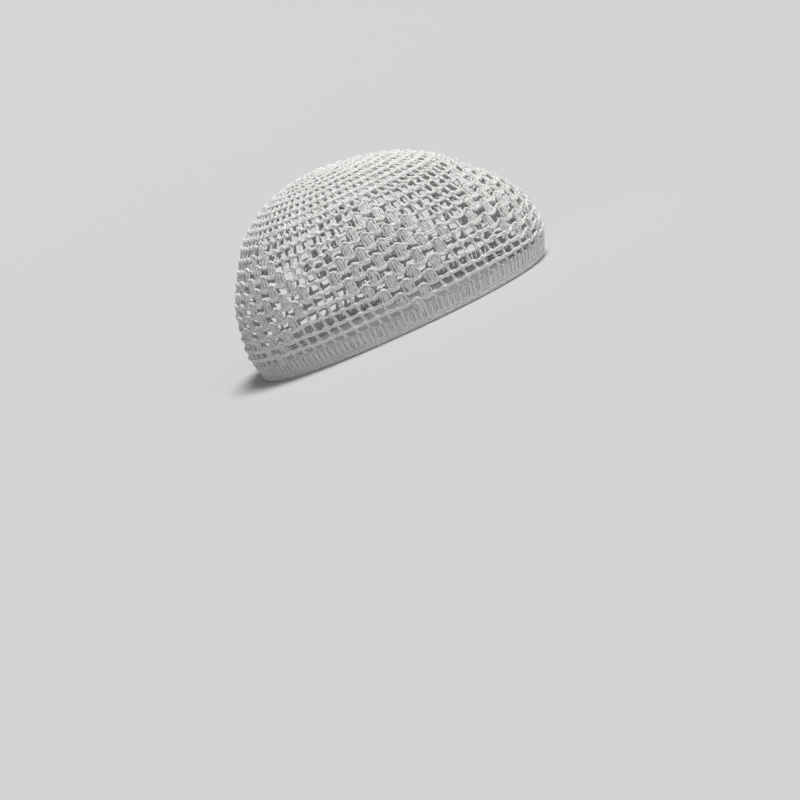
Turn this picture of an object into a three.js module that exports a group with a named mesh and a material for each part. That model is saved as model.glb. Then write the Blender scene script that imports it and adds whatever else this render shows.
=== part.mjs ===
// A crocheted skullcap (kufi): an oval dome of openwork net, closed by a dense band round the rim and a flat
// cord edging under it. From the top down, the crown, the side, the band and the edging are separate bodies
// here, each a hollow wall that follows one shared surface.
//
// Millimetres, +Z up. The cap rests on its rim in the plane z = 0, the wearer faces -Y, and the origin is
// the middle of the cap's plan at that plane.

import * as THREE from "three";

// Driving dimensions.
const NET_WALL = 2.4; // the net, one stitch thick
const BAND_WALL = 2.8; // the band's upright stitches are thicker than the net
const EDGING_WALL = 3.4; // the cord edging stands proud of the band on both sides
const EDGING_HEIGHT = 3.0;
const BAND_TOP = 9.5; // height of the band's upper edge above the rim
const SIDE_TOP = 77.5; // height of the last patterned round, where the crown begins
const COURSE_GAP = 0.3; // clearance between one course and the next
const EDGE_ROUND = 0.8; // rounding of the band's and the edging's corners
const CROWN_AXIS_Y = 13.0; // the crown's centre sits behind the middle of the plan
const PLAN_FULLNESS = 2.2; // exponent of the plan's oval: 2 is an ellipse, more is squarer
const WHITE_COTTON = 0xeeeeea;

// Facets.
const ROUND_STEPS = 56; // round the cap
const STEPS_PER_SECTION = 2; // up the net, between two rows of the table

// Horizontal sections of the outer surface, from the rim to the top of the crown. Reaches are measured from
// the crown's axis: front towards -Y, back towards +Y.
const SECTIONS = [
  { height: 0.0, halfWidth: 75.0, front: 103.5, back: 80.5 },
  { height: 14.0, halfWidth: 76.8, front: 110.0, back: 84.5 },
  { height: 27.0, halfWidth: 77.0, front: 110.0, back: 83.5 },
  { height: 41.0, halfWidth: 76.2, front: 105.5, back: 81.0 },
  { height: 54.0, halfWidth: 73.5, front: 97.0, back: 76.0 },
  { height: 66.0, halfWidth: 69.0, front: 85.0, back: 69.0 },
  { height: 78.0, halfWidth: 60.5, front: 72.5, back: 61.0 },
  { height: 86.0, halfWidth: 51.5, front: 61.0, back: 52.0 },
  { height: 93.0, halfWidth: 40.5, front: 46.0, back: 41.5 },
  { height: 98.0, halfWidth: 27.5, front: 27.5, back: 28.0 },
  { height: 100.6, halfWidth: 14.0, front: 13.0, back: 14.0 },
  { height: 101.4, halfWidth: 0.0, front: 0.0, back: 0.0 },
];
const LAST = SECTIONS.length - 1;

// A smooth profile through one column of the table. The row before the top is mirrored past it, so that the
// crown is level at its centre.
function profile(column) {
  const points = SECTIONS.map((s) => new THREE.Vector2(s[column], s.height));
  const mirrored = SECTIONS[LAST - 1];
  points.push(new THREE.Vector2(-mirrored[column], mirrored.height));
  return new THREE.SplineCurve(points);
}

const PROFILES = {
  halfWidth: profile("halfWidth"),
  front: profile("front"),
  back: profile("back"),
};

// The profile's reach and height at a section number from 0, the rim, to LAST, the top.
const atSection = (column, section) => PROFILES[column].getPoint(section / (LAST + 1));

// A point of the outer surface. Azimuth 0 is the front, and it turns towards +X.
function surfacePoint(azimuth, section) {
  const across = Math.sin(azimuth);
  const along = Math.cos(azimuth);
  const rounded = (share) => Math.sign(share) * Math.abs(share) ** (2 / PLAN_FULLNESS);
  const side = atSection("halfWidth", section);
  const reach = atSection(along > 0 ? "front" : "back", section).x;
  return new THREE.Vector3(side.x * rounded(across), CROWN_AXIS_Y - reach * rounded(along), side.y);
}

// The section number at which the surface has this height.
function sectionAt(height) {
  let low = 0;
  let high = LAST;
  for (let step = 0; step < 40; step++) {
    const middle = (low + high) / 2;
    if (atSection("halfWidth", middle).y < height) low = middle;
    else high = middle;
  }
  return low;
}

// The outward direction at a point of the surface, in 3-D or, with level set, within the horizontal plane.
function outward(azimuth, section, level = false) {
  if (section >= LAST) return new THREE.Vector3(0, 0, 1);
  const step = 1e-3;
  const round = surfacePoint(azimuth + step, section).sub(surfacePoint(azimuth - step, section));
  const up = level
    ? new THREE.Vector3(0, 0, 1)
    : surfacePoint(azimuth, section + step).sub(surfacePoint(azimuth, section - step));
  return round.cross(up).normalize();
}

const azimuthOf = (step) => (step / ROUND_STEPS) * 2 * Math.PI;

// A closed body from rings of points, each ring ROUND_STEPS long: quads join each ring to the next one.
// With caps, a point closes the first ring and another the last. Without them the last ring joins the first.
function ringBody(rings, caps = null) {
  const positions = [];
  const triangles = [];
  const add = (point) => {
    positions.push(point.x, point.y, point.z);
    return positions.length / 3 - 1;
  };
  const rows = rings.map((ring) => ring.map(add));
  const joins = caps ? rows.length - 1 : rows.length;
  for (let row = 0; row < joins; row++) {
    const here = rows[row];
    const next = rows[(row + 1) % rows.length];
    for (let i = 0; i < ROUND_STEPS; i++) {
      const j = (i + 1) % ROUND_STEPS;
      triangles.push(here[i], here[j], next[j], here[i], next[j], next[i]);
    }
  }
  if (caps) {
    const first = add(caps.first);
    const last = add(caps.last);
    const end = rows[rows.length - 1];
    for (let i = 0; i < ROUND_STEPS; i++) {
      const j = (i + 1) % ROUND_STEPS;
      triangles.push(first, rows[0][j], rows[0][i], last, end[i], end[j]);
    }
  }
  return new THREE.BufferGeometry()
    .setAttribute("position", new THREE.Float32BufferAttribute(positions, 3))
    .setIndex(triangles);
}

const ringOf = (pointAt) => Array.from({ length: ROUND_STEPS }, (_, i) => pointAt(azimuthOf(i)));

// Evenly spaced section numbers, about STEPS_PER_SECTION to each row of the table.
function sectionsBetween(low, high) {
  const count = Math.round((high - low) * STEPS_PER_SECTION);
  return Array.from({ length: count + 1 }, (_, i) => low + ((high - low) * i) / count);
}

// The net's rings at these sections: up its inner face and down its outer face.
function netRings(sections) {
  const ringAt = (section, depth) =>
    ringOf((azimuth) =>
      surfacePoint(azimuth, section).addScaledVector(outward(azimuth, section), -depth),
    );
  const inner = sections.map((section) => ringAt(section, NET_WALL));
  const outer = sections.map((section) => ringAt(section, 0));
  return { inner, outer };
}

// The side: a ring of net from the band up to the crown.
function sideGeometry() {
  const sections = sectionsBetween(sectionAt(BAND_TOP + COURSE_GAP), sectionAt(SIDE_TOP));
  const { inner, outer } = netRings(sections);
  return ringBody([...outer, ...inner.reverse()]);
}

// The crown: a shallow dome of net, open below.
function crownGeometry() {
  const sections = sectionsBetween(sectionAt(SIDE_TOP + COURSE_GAP), LAST).slice(0, -1);
  const { inner, outer } = netRings(sections);
  const top = surfacePoint(0, LAST);
  return ringBody([...inner.reverse(), ...outer], {
    first: top.clone().setZ(top.z - NET_WALL),
    last: top,
  });
}

// A level-edged ring of wall between two heights, with rounded corners. proud is how far it stands outside
// the shared surface.
function courseGeometry(low, high, wall, proud) {
  const ringAt = (height, out) =>
    ringOf((azimuth) => {
      const section = sectionAt(height);
      return surfacePoint(azimuth, section).addScaledVector(outward(azimuth, section, true), out);
    });
  const inside = proud - wall;
  return ringBody([
    ringAt(low, inside + EDGE_ROUND),
    ringAt(low, proud - EDGE_ROUND),
    ringAt(low + EDGE_ROUND, proud),
    ringAt(high - EDGE_ROUND, proud),
    ringAt(high, proud - EDGE_ROUND),
    ringAt(high, inside + EDGE_ROUND),
    ringAt(high - EDGE_ROUND, inside),
    ringAt(low + EDGE_ROUND, inside),
  ]);
}

function course(name, geometry, color) {
  const cotton = new THREE.MeshStandardMaterial({ color, roughness: 0.9, metalness: 0 });
  const mesh = new THREE.Mesh(geometry, cotton);
  mesh.name = name;
  return mesh;
}

const bandBottom = EDGING_HEIGHT + COURSE_GAP;
const bandProud = (BAND_WALL - NET_WALL) / 2;
const edgingProud = (EDGING_WALL - NET_WALL) / 2;

const kufi = new THREE.Group();
kufi.name = "kufi";
kufi.add(
  course("crown_net", crownGeometry(), WHITE_COTTON),
  course("side_net", sideGeometry(), WHITE_COTTON),
  course("rim_band", courseGeometry(bandBottom, BAND_TOP, BAND_WALL, bandProud), WHITE_COTTON),
  course("rim_edging", courseGeometry(0, EDGING_HEIGHT, EDGING_WALL, edgingProud), WHITE_COTTON),
);

export default kufi;
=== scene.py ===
"""Crocheted skullcap: the stitches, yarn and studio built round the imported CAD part.

A share is a place round the cap, from 0 at the front towards +X and on to 1 at the front again. A rise is a
distance up the outer face from the plane that the cap rests on, and out is a height off that face. Lengths
are in metres. A cell is one window of the net, with the post or puff beside it.
"""

import math

import bmesh
import bpy
import numpy as np
from mathutils import Matrix, Vector


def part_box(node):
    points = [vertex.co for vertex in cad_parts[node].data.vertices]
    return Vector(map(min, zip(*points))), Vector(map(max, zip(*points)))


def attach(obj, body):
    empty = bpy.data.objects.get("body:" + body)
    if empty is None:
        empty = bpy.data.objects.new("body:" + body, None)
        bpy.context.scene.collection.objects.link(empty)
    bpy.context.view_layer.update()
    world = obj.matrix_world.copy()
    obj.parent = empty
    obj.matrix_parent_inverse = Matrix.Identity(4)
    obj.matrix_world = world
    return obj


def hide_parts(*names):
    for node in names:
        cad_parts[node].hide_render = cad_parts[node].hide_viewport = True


MM = 0.001

# ---------------------------------------------------------------- how the cap is crocheted

REPEATS = 6
CELLS_A_REPEAT = 13
CELLS = REPEATS * CELLS_A_REPEAT
SIDE_ROUNDS = 11
# The side's chains make two meshes: this many rounds in the lower one, and the others in the upper one.
LOWER_ROUNDS = 5
# Where each round line lies, in even pitches up the wall: the lowest rounds are drawn in.
LINE_PLACES = (0.20, 0.88, 1.77, 2.72, 3.73, 4.82, 5.86, 6.84, 7.85, 8.88, 9.93, 11.00)
CROWN_CELLS = (78, 75, 72, 69, 63, 54, 45, 36, 27, 18, 9)
# How far from the centre the crown's last round line lies, in pitches of the crown.
CROWN_HOLE = 0.5
CROWN_CHAIN = 3.3 * MM
CHAINS_A_CELL = 2
BAND_STITCHES = 2 * CELLS
EDGE_STITCHES = 3 * CELLS
EDGE_CHAINS = ((1.15 * MM, -0.6 * MM), (2.3 * MM, -0.5 * MM))

# One diamond, a row of puffs for each round from the band up, as cells from its centre.
DIAMOND = (
    (0,),
    (-1, 1),
    (-2, 0, 2),
    (-3, -1, 1, 3),
    (-4, -2, 0, 2, 4),
    (-5, -3, -1, 1, 3, 5),
    (-4, -2, 0, 2, 4),
    (-3, -1, 1, 3),
    (-2, 0, 2),
    (-1, 1),
    (0,),
)
DIAMOND_CENTRE_CELL = 60

# How far the stitches of each round line are shifted round, in cells: a curve about one of the lines.
CREEP_LINE = 5.0
CREEP_THERE = 0.10
CREEP_BEND = 0.024
CREEP_TWIST = 0.001

# How far a foot or a head lies round from its own place, in cells, and in stitches for the band.
SIDE_FOOT = 0.10
PUFF_FOOT = 0.05
CROWN_FOOT = 0.30
CROWN_HEAD = -0.05
BAND_LEAN = 0.15
CHAIN_START = 0.3

# How a round line strays from level, and how wide each hump of it is, in cells.
WAVE_STEPS = 10
HEAD_PEAK = 0.45 * MM
HEAD_WIDTH = 0.22
PUFF_PEAK = 1.0 * MM
PUFF_DIP = 0.8 * MM
PUFF_WIDTH = 0.38
LINE_SLACK = 0.25 * MM

# How unevenly the stitches are placed, as standard deviations, in cells or in stitches.
PLACE_SPREAD = 0.05
FOOT_SPREAD = 0.04
BAND_SPREAD = 0.06

# ---------------------------------------------------------------- the yarn

YARN = 1.3 * MM
TUBE_SIDES = 6
FINE_SIDES = 5
TUBE_ENDS = 0.6
UNEVEN = 0.10 * MM
PLIES = 3
PLY_TURN = 3.2 * YARN
PLY_STARTS = 8

# Heights off the outer face: the chains and knots of the net, and its posts and puffs behind them.
NET_OUT = -0.5 * YARN
POST_OUT = NET_OUT - 0.4 * YARN
# How far a post reaches under the line at its foot and past the line at its head.
FOOT_REACH = 0.2 * MM
HEAD_REACH = 0.1 * MM

CHAIN_SPREAD = 0.38
CHAIN_WOBBLE = 0.08
CROWN_YARN = 1.25 * YARN
CROWN_KNOT_YARN = 0.85 * YARN
CROWN_CHAIN_SPREAD = 0.42
CROWN_POST_GIRTH = 0.54

POST_STRANDS = 3
POST_STRAND = 0.46
POST_PHASE = 0.3
POST_TURNS = 0.55
POST_GIRTH = 0.42
POST_BREADTH = 1.25
POST_DEPTH = 0.8
POST_FLARE = 0.40
POST_UNEVEN = 0.10
KNOT_STRAND = 0.55

PUFF_LEGS = 4
PUFF_WRAP = 1.1 * MM
PUFF_PLUMP = 0.07
PUFF_CORE = 0.85
PUFF_CORE_BACK = 0.75
PUFF_CORE_BOW = 0.9
LEG_BOW = 1.15
LEG_FALL = 0.5
LEG_UNEVEN = 0.12
LEG_SPREAD = 0.06
LEG_TURNS = 1.1
LEG_STRAND = 0.37
LEG_BREADTH = 0.36
LEG_DEPTH = 0.34
ARCH_REACH = 0.44
ARCH_DROP = 2.4 * MM
ARCH_ROUND = 0.65
ARCH_SKEW = 0.04
ARCH_TURNS = 0.75
ARCH_ABOVE = 0.5
ARCH_WIND = 0.25
ARCH_OUT = 1.15
ARCH_STRAND = 0.47

# The band: bars, the bars behind them that close the gaps, and a chain along its top and its foot.
BAR_OUT = -0.80 * YARN
BAR_SHORT = 0.3 * MM
BAR_TURNS = 0.1
BAR_GIRTH = 0.34
BACKING_OUT = -1.4 * YARN
BACKING_SHORT = 0.6 * MM
BACKING_TURNS = 0.4
BACKING_GIRTH = 0.30
BAND_OUT = NET_OUT - 0.1 * YARN
BAND_KNOT_YARN = 0.68 * YARN
TOP_CHAIN_OUT = NET_OUT - 0.9 * YARN
TOP_CHAIN_YARN = 0.8 * YARN
FOOT_CHAIN_RISE = 0.4 * MM
FOOT_CHAIN_YARN = 0.7 * YARN
EDGE_YARN = 0.8 * YARN
EDGE_SPREAD = 0.5

# ---------------------------------------------------------------- colours, light and camera

NET_WHITE = (0.83, 0.83, 0.815)
NET_SHADE = (0.74, 0.742, 0.72)
BAND_WHITE = (0.81, 0.81, 0.795)
BAND_SHADE = (0.72, 0.722, 0.70)
EDGE_WHITE = (0.82, 0.82, 0.805)
EDGE_SHADE = (0.73, 0.732, 0.71)
PLY_RELIEF = 0.35
FIBRE_SCALE = 2200.0
FIBRE_DETAIL = 3.0
BUMP_STRENGTH = 0.8
BUMP_HEIGHT = 0.3 * MM
TONE_SCALE = 90.0
TONE_DETAIL = 2.0

CAMERA_DISTANCE = 1.25
CAMERA_FORWARD_DEG = 5.0
CAMERA_ELEVATION_DEG = 8.0
CAMERA_ROLL_DEG = 24.5
CAMERA_LENS_MM = 92.6
SENSOR_MM = 36.0
CAP_RIGHT_OF_CENTRE = 3.9 * MM
CAP_ABOVE_CENTRE = 52.4 * MM

KEY_TOWARD = (0.0, -0.35, 1.0)
KEY_ENERGY = 3.0
KEY_SPREAD_DEG = 22.0
FILL_TOWARD = (-1.0, -0.8, 0.9)
FILL_ENERGY = 0.4
FILL_SPREAD_DEG = 50.0
AIR_STRENGTH = 0.22
FLOOR_GREY = 0.54
FLOOR_LEVEL_TO = 2.5
FLOOR_RADIUS = 14.0
FLOOR_RISE = 3.2
FLOOR_RINGS = 24
FLOOR_SIDES = 96

rng = np.random.default_rng(11)


# ---------------------------------------------------------------- the surface

def outermost(points):
    """The convex outer side of a set of (reach, height) points, from the lowest to the highest."""
    kept = []
    for point in points[np.lexsort((-points[:, 0], points[:, 1]))]:
        while len(kept) > 1:
            (r0, h0), (r1, h1) = kept[-2], kept[-1]
            turn = (r1 - r0) * (point[1] - h0) - (h1 - h0) * (point[0] - r0)
            if turn > 0:
                break
            kept.pop()
        kept.append(point)
    return np.array(kept)


class Dome:
    """The frame's outer face, addressed by share, rise and out."""

    AZIMUTHS = 721
    LEVEL_STEP = 1.0 * MM
    GIRTH_POINTS = 181
    # The power of the plan's oval: 2 is an ellipse, and more is fuller.
    FULLNESS = 2.2
    NEAR = 0.01 * MM

    def __init__(self, nodes):
        vertices = np.array([v.co for node in nodes for v in node.data.vertices])
        self.top = vertices[vertices[:, 2].argmax()]
        x, y, z = (vertices - [0.0, self.top[1], 0.0]).T
        on_length, on_width = abs(x) < self.NEAR, abs(y) < self.NEAR
        front = outermost(np.c_[-y, z][on_length & (y < self.NEAR)])
        back = outermost(np.c_[y, z][on_length & (y > -self.NEAR)])
        side = outermost(np.c_[x, z][on_width & (x > -self.NEAR)])
        arc = np.r_[0.0, np.cumsum(np.hypot(*np.diff(side, axis=0).T))]
        self.length = arc[-1]
        self.rises = np.linspace(0.0, self.length, int(self.length / self.LEVEL_STEP) + 1)
        self.heights = np.interp(self.rises, arc, side[:, 1])
        widths = np.interp(self.rises, arc, side[:, 0])
        fronts = np.interp(self.heights, front[:, 1], front[:, 0])
        backs = np.interp(self.heights, back[:, 1], back[:, 0])
        self.grid = np.array([self.ring(*row) for row in zip(self.heights, widths, fronts, backs)])
        around = np.gradient(self.grid[:, :-1], axis=1)
        upward = np.gradient(self.grid[:, :-1], axis=0)
        normal = np.cross(around, upward)
        normal[-1] = (0.0, 0.0, 1.0)
        normal /= np.linalg.norm(normal, axis=2, keepdims=True)
        self.normal = np.concatenate([normal, normal[:, :1]], axis=1)

    def ring(self, height, width, front, back):
        """Points evenly spaced round one level section, from the front towards +X and back to the front."""
        azimuth = np.linspace(0.0, 2 * math.pi, self.AZIMUTHS)
        power = 2 / self.FULLNESS
        sine, cosine = (np.sign(q) * abs(q) ** power for q in (np.sin(azimuth), np.cos(azimuth)))
        reach = np.where(cosine > 0, front, back)
        points = np.c_[width * sine, self.top[1] - reach * cosine, np.full(self.AZIMUTHS, height)]
        run = np.r_[0.0, np.cumsum(np.linalg.norm(np.diff(points, axis=0), axis=1))]
        even = np.linspace(0.0, run[-1], self.AZIMUTHS)
        return np.stack([np.interp(even, run, column) for column in points.T], axis=1)

    def rise_of(self, height):
        """The rise at a height over the floor, measured up the side."""
        return float(np.interp(height, self.heights, self.rises))

    def girth(self, rise):
        """The way round at one rise."""
        points = self.at(np.linspace(0.0, 1.0, self.GIRTH_POINTS), rise)
        return float(np.linalg.norm(np.diff(points, axis=0), axis=1).sum())

    def at(self, share, rise, out=0.0):
        """The points at these shares, rises and heights off the face."""
        share, rise, out = np.broadcast_arrays(share, rise, out)
        column = (share % 1.0) * (self.AZIMUTHS - 1)
        row = np.clip(rise / self.length, 0.0, 1.0) * (len(self.rises) - 1)
        c0 = np.minimum(column.astype(int), self.AZIMUTHS - 2)
        r0 = np.minimum(row.astype(int), len(self.rises) - 2)
        c, r = (column - c0)[..., None], (row - r0)[..., None]

        def blend(table):
            below = table[r0, c0] * (1 - c) + table[r0, c0 + 1] * c
            above = table[r0 + 1, c0] * (1 - c) + table[r0 + 1, c0 + 1] * c
            return below * (1 - r) + above * r

        return blend(self.grid) + blend(self.normal) * out[..., None]


# ---------------------------------------------------------------- strands

def unit(vectors):
    """Vectors of length 1."""
    return vectors / np.maximum(np.linalg.norm(vectors, axis=-1, keepdims=True), 1e-12)


class Strands:
    """Many short tubes of yarn gathered into one mesh."""

    # A point inside the cap, which the first ring of each tube is turned by.
    MIDST = (0.0, 0.0, 20 * MM)

    def __init__(self):
        self.vertices = []
        self.faces = []
        self.count = 0

    def add(self, paths, radius, sides=TUBE_SIDES):
        """One tube along each path. paths is tubes x points x 3."""
        tubes, points = paths.shape[:2]
        slack = np.sin(np.linspace(0, math.pi, points))[:, None]
        paths = paths + rng.normal(0, UNEVEN, (tubes, 1, 3)) * slack
        body = self.rings(paths, radius, sides)
        self.vertices.append(body.reshape(-1, 3))
        index = self.count + np.arange(tubes * points * sides).reshape(tubes, points, sides)
        self.count += tubes * points * sides
        steps = np.linalg.norm(np.diff(paths, axis=1), axis=2)
        run = np.concatenate([np.zeros((tubes, 1)), np.cumsum(steps, axis=1)], axis=1)
        run = run / PLY_TURN + rng.random((tubes, 1)) * PLY_STARTS
        self.add_walls(index, run, sides)
        self.add_ends(index, run, sides)

    @staticmethod
    def rings(paths, radius, sides):
        """The rings of points round each path, carried along it without twisting."""
        tubes, points = paths.shape[:2]
        tangent = unit(np.gradient(paths, axis=1))
        across = np.empty_like(paths)
        across[:, 0] = unit(np.cross(tangent[:, 0], unit(paths[:, 0] - Strands.MIDST)))
        for i in range(1, points):
            before = across[:, i - 1]
            across[:, i] = unit(before - tangent[:, i] * (before * tangent[:, i]).sum(1, keepdims=True))
        over = np.cross(tangent, across)
        turn = np.arange(sides) * 2 * math.pi / sides
        size = np.full(points, radius)
        size[[0, -1]] *= TUBE_ENDS
        ring = across[:, :, None] * np.cos(turn)[:, None] + over[:, :, None] * np.sin(turn)[:, None]
        return paths[:, :, None] + ring * size[:, None, None]

    def add_walls(self, index, run, sides):
        """The four-sided faces of tubes, mapped along the yarn and once round it."""
        following = np.roll(index, -1, axis=2)
        quads = np.stack([index[:, :-1], following[:, :-1], following[:, 1:], index[:, 1:]], axis=-1)
        shape = index[:, :-1].shape
        u0 = np.broadcast_to(run[:, :-1, None], shape)
        u1 = np.broadcast_to(run[:, 1:, None], shape)
        v0 = np.broadcast_to(np.arange(sides) / sides, shape)
        v1 = v0 + 1 / sides
        corners = ((u0, v0), (u0, v1), (u1, v1), (u1, v0))
        uv = np.stack([np.stack(corner, axis=-1) for corner in corners], axis=-2)
        self.faces.append((quads.reshape(-1, 4), uv.reshape(-1, 4, 2)))

    def add_ends(self, index, run, sides):
        """The face that closes each end of tubes."""
        for end, step in ((0, -1), (-1, 1)):
            uv = np.broadcast_to(run[:, end, None, None], (len(run), sides, 2)).copy()
            self.faces.append((index[:, end, ::step], uv))

    def mesh(self, name, material):
        """The gathered tubes as one smooth mesh object."""
        vertices = np.concatenate(self.vertices)
        corners = np.concatenate([faces.ravel() for faces, _ in self.faces])
        sizes = np.concatenate([np.full(len(faces), faces.shape[1]) for faces, _ in self.faces])
        uvs = np.concatenate([uv.reshape(-1, 2) for _, uv in self.faces])
        data = bpy.data.meshes.new(name)
        data.vertices.add(len(vertices))
        data.vertices.foreach_set("co", vertices.astype(np.float32).ravel())
        data.loops.add(len(corners))
        data.loops.foreach_set("vertex_index", corners.astype(np.int32))
        data.polygons.add(len(sizes))
        data.polygons.foreach_set("loop_start", np.r_[0, np.cumsum(sizes)[:-1]].astype(np.int32))
        data.polygons.foreach_set("use_smooth", np.ones(len(sizes), bool))
        layer = data.uv_layers.new(name="yarn")
        layer.data.foreach_set("uv", uvs.astype(np.float32).ravel())
        data.update()
        data.validate()
        data.materials.append(material)
        thing = bpy.data.objects.new(name, data)
        bpy.context.scene.collection.objects.link(thing)
        return thing


# ---------------------------------------------------------------- the pattern

def creep(line):
    """How far the stitches of a round line are shifted round, in cells."""
    past = line - CREEP_LINE
    return CREEP_THERE + CREEP_BEND * past ** 2 + CREEP_TWIST * past ** 3


def puff_cells(round_number):
    """Cells that hold a puff in one round, counted from the front."""
    if not 1 <= round_number <= len(DIAMOND):
        return set()
    offsets = DIAMOND[round_number - 1]
    return {
        (DIAMOND_CENTRE_CELL + repeat * CELLS_A_REPEAT + offset) % CELLS
        for repeat in range(REPEATS)
        for offset in offsets
    }


def puff_centres(round_number):
    """The head of each puff in one round, in cells from the front."""
    return np.array(sorted(puff_cells(round_number))) + 0.5 + creep(round_number)


def post_cells(round_number):
    """Where the plain tall stitches of one round stand: a puff takes the place of the two beside it."""
    held = puff_cells(round_number)
    return np.array([k for k in range(CELLS) if k not in held and (k - 1) % CELLS not in held])


def line_wave(line):
    """How far a round line strays from level, at an even spacing of cells from the front.

    The head of a puff or post lifts it, the puffs of the round above pull it down, and no two cells are
    worked equally tight."""
    cells = np.arange(0, CELLS, 1 / WAVE_STEPS)

    def humps(centres, width):
        away = (cells[:, None] - np.asarray(centres, float) + CELLS / 2) % CELLS - CELLS / 2
        return np.exp(-((away / width) ** 2)).sum(axis=1)

    wave = HEAD_PEAK * humps(post_cells(line) + creep(line), HEAD_WIDTH)
    if puff_cells(line):
        wave += PUFF_PEAK * humps(puff_centres(line), PUFF_WIDTH)
    if puff_cells(line + 1):
        toward_feet = creep(line) - creep(line + 0.5)
        wave -= PUFF_DIP * humps(puff_centres(line + 1) + toward_feet, PUFF_WIDTH)
    slack = rng.normal(0, LINE_SLACK, CELLS)
    wave += np.interp(cells, np.arange(CELLS + 1), np.r_[slack, slack[:1]])
    return np.r_[wave, wave[:1]]


def stray(wave, share):
    """The wave at a share of the way round."""
    return np.interp((share % 1.0) * CELLS, np.linspace(0, CELLS, len(wave)), wave)


# ---------------------------------------------------------------- the stitches

def chain_round(strands, rise, stitches, start, out, yarn=YARN, spread=CHAIN_SPREAD, wave=None):
    """A round of chain stitches, each two legs that open from the stitch behind and close in the next."""
    along = np.array([-0.1, 0.15, 0.5, 0.8, 1.05, 1.25])
    apart = np.array([0.15, 0.7, 1.0, 0.95, 0.6, 0.2]) * spread * yarn
    lift = np.array([-0.4, 0.05, 0.15, 0.1, -0.15, -0.5]) * yarn
    first = np.arange(stitches)[:, None] + rng.normal(0, PLACE_SPREAD, (stitches, 1))
    share = (start - first - along) / stitches
    if wave is not None:
        rise = rise + stray(wave, share)
    for side in (-1, 1):
        wobble = rng.normal(0, CHAIN_WOBBLE, (stitches, 1)) * yarn
        strands.add(dome.at(share, rise + side * apart + wobble, out + lift), yarn / 2)


def posts(strands, feet, heads, low, high, out, turns=POST_TURNS, girth=POST_GIRTH):
    """Tall stitches from foot to head, each of three strands that wind round each other."""
    steps = np.linspace(0.0, 1.0, 7)
    count = len(feet)
    phase = rng.random((count, 1)) * POST_PHASE
    middle = feet[:, None] * (1 - steps) + heads[:, None] * steps
    low, high = (np.broadcast_to(edge, count)[:, None] for edge in (low, high))
    rise = low + (high - low) * steps
    metre = 1.0 / dome.girth(float(np.mean(rise)))
    uneven = 1 + rng.normal(0, POST_UNEVEN, (count, 1))
    flare = (1 + POST_FLARE * np.cos(2 * math.pi * steps)) * uneven
    for i in range(POST_STRANDS):
        angle = 2 * math.pi * (i / POST_STRANDS + turns * steps + phase)
        share = middle + POST_BREADTH * np.sin(angle) * girth * flare * YARN * metre
        lift = out + np.cos(angle) * girth * POST_DEPTH * YARN
        strands.add(dome.at(share, rise, lift), POST_STRAND * YARN, FINE_SIDES)


def knots(strands, heads, rise, out, yarn=YARN):
    """The loop at the head of each tall stitch, drawn over the round of chains."""
    along = np.array([-0.95, -0.75, -0.2, 0.45, 0.85, 0.95]) * yarn
    up = np.array([-1.25, -0.35, 0.40, 0.35, -0.35, -1.1]) * yarn
    lift = np.array([-0.45, 0.35, 0.62, 0.62, 0.25, -0.45]) * yarn
    rise = np.broadcast_to(rise, len(heads))[:, None]
    share = heads[:, None] - along / dome.girth(float(np.mean(rise)))
    strands.add(dome.at(share, rise + up, out + lift), KNOT_STRAND * yarn)


def puffs(strands, feet, heads, low, high, out):
    """Clusters of tall stitches worked in one place: round the chains below, swollen, drawn in on top."""
    steps = np.array([0.0, 0.07, 0.18, 0.36, 0.56, 0.76, 0.92, 1.0])
    bow = np.array([-0.9, 0.1, 0.40, 0.5, 0.75, 1.3, 1.25, 0.3])
    width = np.array([0.24, 0.30, 0.34, 0.37, 0.38, 0.34, 0.24, 0.10]) / CELLS
    count = len(feet)
    middle = feet[:, None] * (1 - steps) + heads[:, None] * steps
    plump = 1 + rng.normal(0, PUFF_PLUMP, (count, 1))
    low = low[:, None] - PUFF_WRAP
    rise = low + (high[:, None] - low) * steps
    metre = 1.0 / dome.girth(float(np.mean(rise)))
    for i in range(PUFF_LEGS):
        side = 2 * i / (PUFF_LEGS - 1) - 1 + rng.normal(0, LEG_SPREAD, (count, 1))
        fullness = LEG_BOW - LEG_FALL * side ** 2 + rng.normal(0, LEG_UNEVEN, (count, 1))
        lift = out + bow * fullness * plump * MM
        start = rng.random((count, 1)) * 2 * math.pi
        for half in (0.0, math.pi):
            wind = start + half + 2 * LEG_TURNS * math.pi * steps
            share = middle + side * width * plump + LEG_BREADTH * YARN * np.sin(wind) * metre
            strand = dome.at(share, rise, lift + LEG_DEPTH * YARN * np.cos(wind))
            strands.add(strand, LEG_STRAND * YARN, FINE_SIDES)
    core = dome.at(middle, rise, out + (bow * plump - PUFF_CORE_BACK) * PUFF_CORE_BOW * MM)
    strands.add(core, PUFF_CORE * YARN)
    arches(strands, heads, high, out, plump)


def arches(strands, heads, high, out, plump):
    """The loop over the top of each puff, of two strands that wind round each other."""
    across = np.linspace(-1.0, 1.0, 9)
    arch = np.cos(across * math.pi / 2) ** ARCH_ROUND
    skew = rng.normal(0, ARCH_SKEW, (len(heads), 1))
    share = heads[:, None] - (across * plump + skew) * ARCH_REACH / CELLS
    for twist in (0.0, math.pi):
        wind = twist + across * 2 * ARCH_TURNS * math.pi
        top = high[:, None] + ARCH_ABOVE * YARN + (arch - 1) * ARCH_DROP + ARCH_WIND * YARN * np.sin(wind)
        lift = out + ARCH_WIND * YARN + arch * ARCH_OUT * YARN + ARCH_WIND * YARN * np.cos(wind)
        strands.add(dome.at(share, top, lift), ARCH_STRAND * YARN)


# ---------------------------------------------------------------- materials

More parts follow.
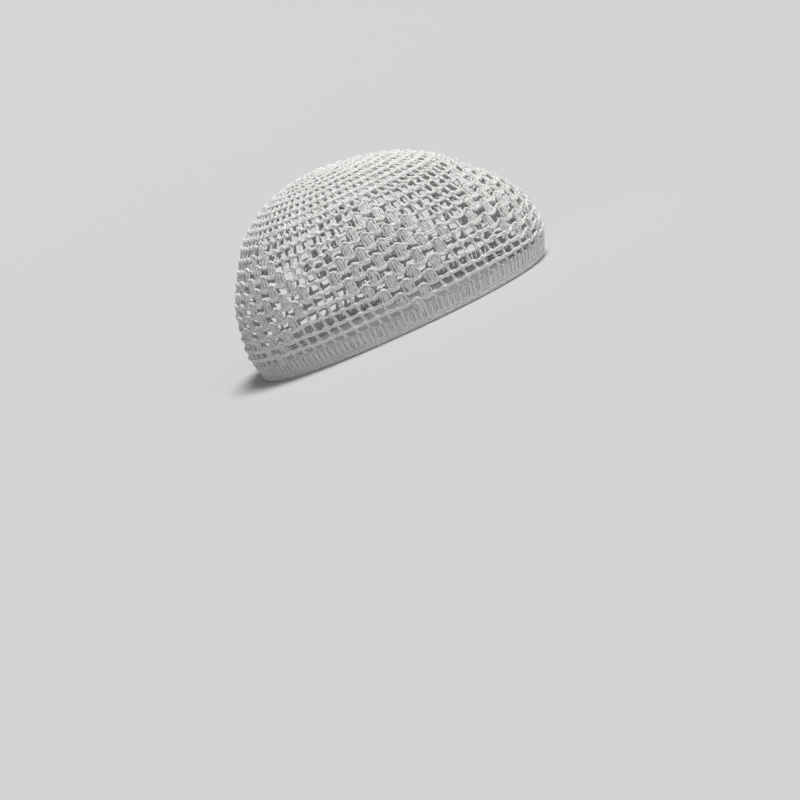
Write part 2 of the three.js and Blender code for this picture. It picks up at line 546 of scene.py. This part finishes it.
def maths(tree, operation, *values):
    """A maths node's output, with a link for each socket among its values."""
    node = tree.nodes.new("ShaderNodeMath")
    node.operation = operation
    for place, value in enumerate(values):
        if isinstance(value, bpy.types.NodeSocket):
            tree.links.new(value, node.inputs[place])
        else:
            node.inputs[place].default_value = value
    return node.outputs[0]


def noise(tree, place, scale, detail):
    """A noise node's grey output, at a place on the object."""
    node = tree.nodes.new("ShaderNodeTexNoise")
    node.inputs["Scale"].default_value = scale
    node.inputs["Detail"].default_value = detail
    tree.links.new(place, node.inputs["Vector"])
    return node.outputs["Fac"]


def yarn_material(name, white, shade):
    """White cotton: plies along the strand, loose fibres, and a soft change of tone from place to place."""
    material = bpy.data.materials.new(name)
    material.use_nodes = True
    tree = material.node_tree
    shader = tree.nodes["Principled BSDF"]
    shader.inputs["Roughness"].default_value = 0.85
    shader.inputs["Sheen Weight"].default_value = 0.25
    shader.inputs["Sheen Roughness"].default_value = 0.45
    shader.inputs["Specular IOR Level"].default_value = 0.25
    uv = tree.nodes.new("ShaderNodeUVMap")
    uv.uv_map = "yarn"
    split = tree.nodes.new("ShaderNodeSeparateXYZ")
    tree.links.new(uv.outputs[0], split.inputs[0])
    turns = maths(tree, "MULTIPLY_ADD", split.outputs["Y"], PLIES, split.outputs["X"])
    ply = maths(tree, "SINE", maths(tree, "MULTIPLY", turns, 2 * math.pi))
    place = tree.nodes.new("ShaderNodeTexCoord").outputs["Object"]
    fibre = noise(tree, place, FIBRE_SCALE, FIBRE_DETAIL)
    bump = tree.nodes.new("ShaderNodeBump")
    bump.inputs["Strength"].default_value = BUMP_STRENGTH
    bump.inputs["Distance"].default_value = BUMP_HEIGHT
    tree.links.new(maths(tree, "MULTIPLY_ADD", ply, PLY_RELIEF, fibre), bump.inputs["Height"])
    tree.links.new(bump.outputs[0], shader.inputs["Normal"])
    tone = tree.nodes.new("ShaderNodeMix")
    tone.data_type = "RGBA"
    tone.inputs["A"].default_value = (*shade, 1)
    tone.inputs["B"].default_value = (*white, 1)
    tree.links.new(noise(tree, place, TONE_SCALE, TONE_DETAIL), tone.inputs["Factor"])
    tree.links.new(tone.outputs["Result"], shader.inputs["Base Color"])
    return material


def floor_material():
    """A matt pale grey."""
    material = bpy.data.materials.new("studio_floor")
    material.use_nodes = True
    shader = material.node_tree.nodes["Principled BSDF"]
    shader.inputs["Base Color"].default_value = (FLOOR_GREY, FLOOR_GREY, FLOOR_GREY, 1)
    shader.inputs["Roughness"].default_value = 0.9
    shader.inputs["Specular IOR Level"].default_value = 0.0
    return material


# ---------------------------------------------------------------- the cap

def line_rise(line):
    """The rise of one of the side's round lines, before it strays."""
    return band_high + LINE_PLACES[line] * pitch


def side_strands(waves):
    """The patterned rounds: the lower and the upper chains, the posts with their knots, and the puffs."""
    lower_chains, upper_chains, post_strands, puff_strands = Strands(), Strands(), Strands(), Strands()
    for n in range(1, SIDE_ROUNDS + 1):
        below, above = line_rise(n - 1), line_rise(n)
        free = post_cells(n)
        jitter = rng.normal(0, PLACE_SPREAD, len(free))
        feet = (free + creep(n - 1) + SIDE_FOOT + jitter + rng.normal(0, FOOT_SPREAD, len(free))) / CELLS
        heads = (free + creep(n) + jitter) / CELLS
        low = below + stray(waves[n - 1], feet) - FOOT_REACH
        high = above + stray(waves[n], heads)
        posts(post_strands, feet, heads, low, high + HEAD_REACH, POST_OUT)
        knots(post_strands, heads, high, NET_OUT)
        puff_heads = puff_centres(n) / CELLS
        puff_feet = puff_heads + (creep(n - 1) - creep(n) + PUFF_FOOT) / CELLS
        puff_low = below + stray(waves[n - 1], puff_feet)
        puff_high = above + stray(waves[n], puff_heads)
        puffs(puff_strands, puff_feet, puff_heads, puff_low, puff_high, POST_OUT)
        chains = lower_chains if n <= LOWER_ROUNDS else upper_chains
        start = creep(n) * CHAINS_A_CELL
        chain_round(chains, above, CELLS * CHAINS_A_CELL, start, NET_OUT, wave=waves[n])
    return lower_chains, upper_chains, post_strands, puff_strands


def crown_strands():
    """The plain rounds that narrow to the centre: the chains, and the posts with their knots."""
    chains, post_strands = Strands(), Strands()
    for n, cells in enumerate(CROWN_CELLS, 1):
        below, above = side_high + (n - 1) * crown_pitch, side_high + n * crown_pitch
        place = np.arange(cells) + rng.normal(0, PLACE_SPREAD, cells)
        feet, heads = (place + CROWN_FOOT) / cells, (place + CROWN_HEAD) / cells
        low, high = below - FOOT_REACH, above + HEAD_REACH
        posts(post_strands, feet, heads, low, high, POST_OUT, girth=CROWN_POST_GIRTH)
        knots(post_strands, heads, above, NET_OUT, CROWN_KNOT_YARN)
        stitches = round(dome.girth(above) / CROWN_CHAIN)
        chain_round(chains, above, stitches, 0.0, NET_OUT, CROWN_YARN, CROWN_CHAIN_SPREAD)
    return chains, post_strands


def band_strands(wave):
    """The dense round: leaning bars with a knot on each, bars behind the gaps, and a chain at either edge."""
    strands = Strands()
    feet = (np.arange(BAND_STITCHES) + rng.normal(0, BAND_SPREAD, BAND_STITCHES)) / BAND_STITCHES
    heads = feet - BAND_LEAN / BAND_STITCHES
    top = line_rise(0)
    tops = top + stray(wave, heads)
    low, high = band_low - FOOT_REACH, tops - BAR_SHORT
    posts(strands, feet, heads, low, high, BAR_OUT, BAR_TURNS, BAR_GIRTH)
    gaps = feet + 0.5 / BAND_STITCHES
    posts(strands, gaps, gaps, band_low, top - BACKING_SHORT, BACKING_OUT, BACKING_TURNS, BACKING_GIRTH)
    knots(strands, heads, tops, BAND_OUT, BAND_KNOT_YARN)
    stitches = CELLS * CHAINS_A_CELL
    chain_round(strands, top - BAR_SHORT, stitches, CHAIN_START, TOP_CHAIN_OUT, TOP_CHAIN_YARN, wave=wave)
    foot = band_low + FOOT_CHAIN_RISE
    chain_round(strands, foot, BAND_STITCHES, CHAIN_START, BAND_OUT, FOOT_CHAIN_YARN)
    return strands


def edging_strands():
    """The rounds of close chain that the cap stands on."""
    strands = Strands()
    for rise, out in EDGE_CHAINS:
        chain_round(strands, rise, EDGE_STITCHES, 0.0, out, EDGE_YARN, EDGE_SPREAD)
    return strands


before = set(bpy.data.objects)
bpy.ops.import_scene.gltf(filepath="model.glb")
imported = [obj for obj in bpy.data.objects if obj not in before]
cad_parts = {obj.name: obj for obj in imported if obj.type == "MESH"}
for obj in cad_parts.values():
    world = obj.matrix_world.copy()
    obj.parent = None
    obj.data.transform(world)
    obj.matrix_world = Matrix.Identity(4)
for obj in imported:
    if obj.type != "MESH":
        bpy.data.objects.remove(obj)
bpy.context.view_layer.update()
cad_nodes = list(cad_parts.values())
dome = Dome(cad_nodes)

band_low = dome.rise_of(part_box("rim_band")[0].z)
band_high = dome.rise_of(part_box("rim_band")[1].z)
side_high = dome.rise_of(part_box("side_net")[1].z)
pitch = (side_high - band_high) / SIDE_ROUNDS
crown_pitch = (dome.length - side_high) / (len(CROWN_CELLS) + CROWN_HOLE)

line_waves = [line_wave(line) for line in range(SIDE_ROUNDS + 1)]
side_chains_lower, side_chains_upper, side_posts, side_puffs = side_strands(line_waves)
crown_chains, crown_posts = crown_strands()
band = band_strands(line_waves[0])
edging = edging_strands()

net_yarn = yarn_material("net_yarn", NET_WHITE, NET_SHADE)
band_yarn = yarn_material("band_yarn", BAND_WHITE, BAND_SHADE)
edging_yarn = yarn_material("edging_yarn", EDGE_WHITE, EDGE_SHADE)

for strands, name, material, slot, nodes in (
    (side_chains_lower, "side_chains_lower", net_yarn, "net_yarn", ("side_net",)),
    (side_chains_upper, "side_chains_upper", net_yarn, "net_yarn", ("side_net",)),
    (side_posts, "side_posts", net_yarn, "net_yarn", ("side_net",)),
    (side_puffs, "side_puffs", net_yarn, "net_yarn", ("side_net",)),
    (crown_chains, "crown_chains", net_yarn, "net_yarn", ("crown_net",)),
    (crown_posts, "crown_posts", net_yarn, "net_yarn", ("crown_net",)),
    (band, "band_stitches", band_yarn, "band_yarn", ("rim_band",)),
    (edging, "edging_cord", edging_yarn, "edging_yarn", ("rim_edging",)),
):
    piece = strands.mesh(name, material)
    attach(piece, "root")
    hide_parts(*nodes)


# ---------------------------------------------------------------- the studio

def sweep():
    """The floor, level round the cap and rising slowly far off, so that no horizon shows."""
    radii = np.linspace(FLOOR_LEVEL_TO, FLOOR_RADIUS, FLOOR_RINGS)
    heights = FLOOR_RISE * ((radii - FLOOR_LEVEL_TO) / (FLOOR_RADIUS - FLOOR_LEVEL_TO)) ** 2
    turn = np.arange(FLOOR_SIDES) * 2 * math.pi / FLOOR_SIDES
    mesh = bmesh.new()
    rings = [
        [mesh.verts.new((radius * math.cos(a), radius * math.sin(a), height)) for a in turn]
        for radius, height in zip(radii, heights)
    ]
    mesh.faces.new(rings[0])
    for inner, outer in zip(rings, rings[1:]):
        for i in range(FLOOR_SIDES):
            mesh.faces.new((inner[i - 1], outer[i - 1], outer[i], inner[i]))
    for face in mesh.faces:
        face.smooth = True
    data = bpy.data.meshes.new("studio_floor")
    mesh.to_mesh(data)
    mesh.free()
    data.materials.append(floor_material())
    floor = bpy.data.objects.new("studio_floor", data)
    bpy.context.scene.collection.objects.link(floor)
    return floor


def soft_light(name, energy, spread_degrees, toward):
    """A wide distant light that shines from one direction."""
    data = bpy.data.lights.new(name, "SUN")
    data.energy = energy
    data.angle = math.radians(spread_degrees)
    light = bpy.data.objects.new(name, data)
    light.rotation_mode = "QUATERNION"
    light.rotation_quaternion = Vector(toward).to_track_quat("Z", "Y")
    bpy.context.scene.collection.objects.link(light)


def studio():
    """A wide pale floor, a soft key light from above and in front, a fill from the right, and dim air."""
    sweep()
    soft_light("soft_key", KEY_ENERGY, KEY_SPREAD_DEG, KEY_TOWARD)
    soft_light("soft_fill", FILL_ENERGY, FILL_SPREAD_DEG, FILL_TOWARD)
    world = bpy.data.worlds.new("studio_air")
    world.use_nodes = True
    background = world.node_tree.nodes["Background"]
    background.inputs["Color"].default_value = (1.0, 1.0, 1.0, 1)
    background.inputs["Strength"].default_value = AIR_STRENGTH
    bpy.context.scene.world = world
    bpy.context.scene.view_settings.view_transform = "Standard"


def camera():
    """A view from the wearer's right, a little above the rim, rolled as far as a worn cap tips back."""
    forward = math.radians(CAMERA_FORWARD_DEG)
    elevation = math.radians(CAMERA_ELEVATION_DEG)
    roll = math.radians(CAMERA_ROLL_DEG)
    back = Vector((
        -math.cos(forward) * math.cos(elevation),
        -math.sin(forward) * math.cos(elevation),
        math.sin(elevation),
    ))
    level = Vector((0, 0, 1)).cross(back).normalized()
    upright = back.cross(level)
    across = level * math.cos(roll) - upright * math.sin(roll)
    above = level * math.sin(roll) + upright * math.cos(roll)
    spot = back * CAMERA_DISTANCE
    aim = across * -CAP_RIGHT_OF_CENTRE - above * CAP_ABOVE_CENTRE
    facing = (spot - aim).normalized()
    right = (across - facing * across.dot(facing)).normalized()
    up = facing.cross(right)
    data = bpy.data.cameras.new("camera")
    data.lens = CAMERA_LENS_MM
    data.sensor_width = SENSOR_MM
    data.clip_start = 0.01
    data.clip_end = 100.0
    thing = bpy.data.objects.new("camera", data)
    thing.matrix_world = Matrix((
        (right.x, up.x, facing.x, spot.x),
        (right.y, up.y, facing.y, spot.y),
        (right.z, up.z, facing.z, spot.z),
        (0, 0, 0, 1),
    ))
    bpy.context.scene.collection.objects.link(thing)
    bpy.context.scene.camera = thing


studio()
camera()
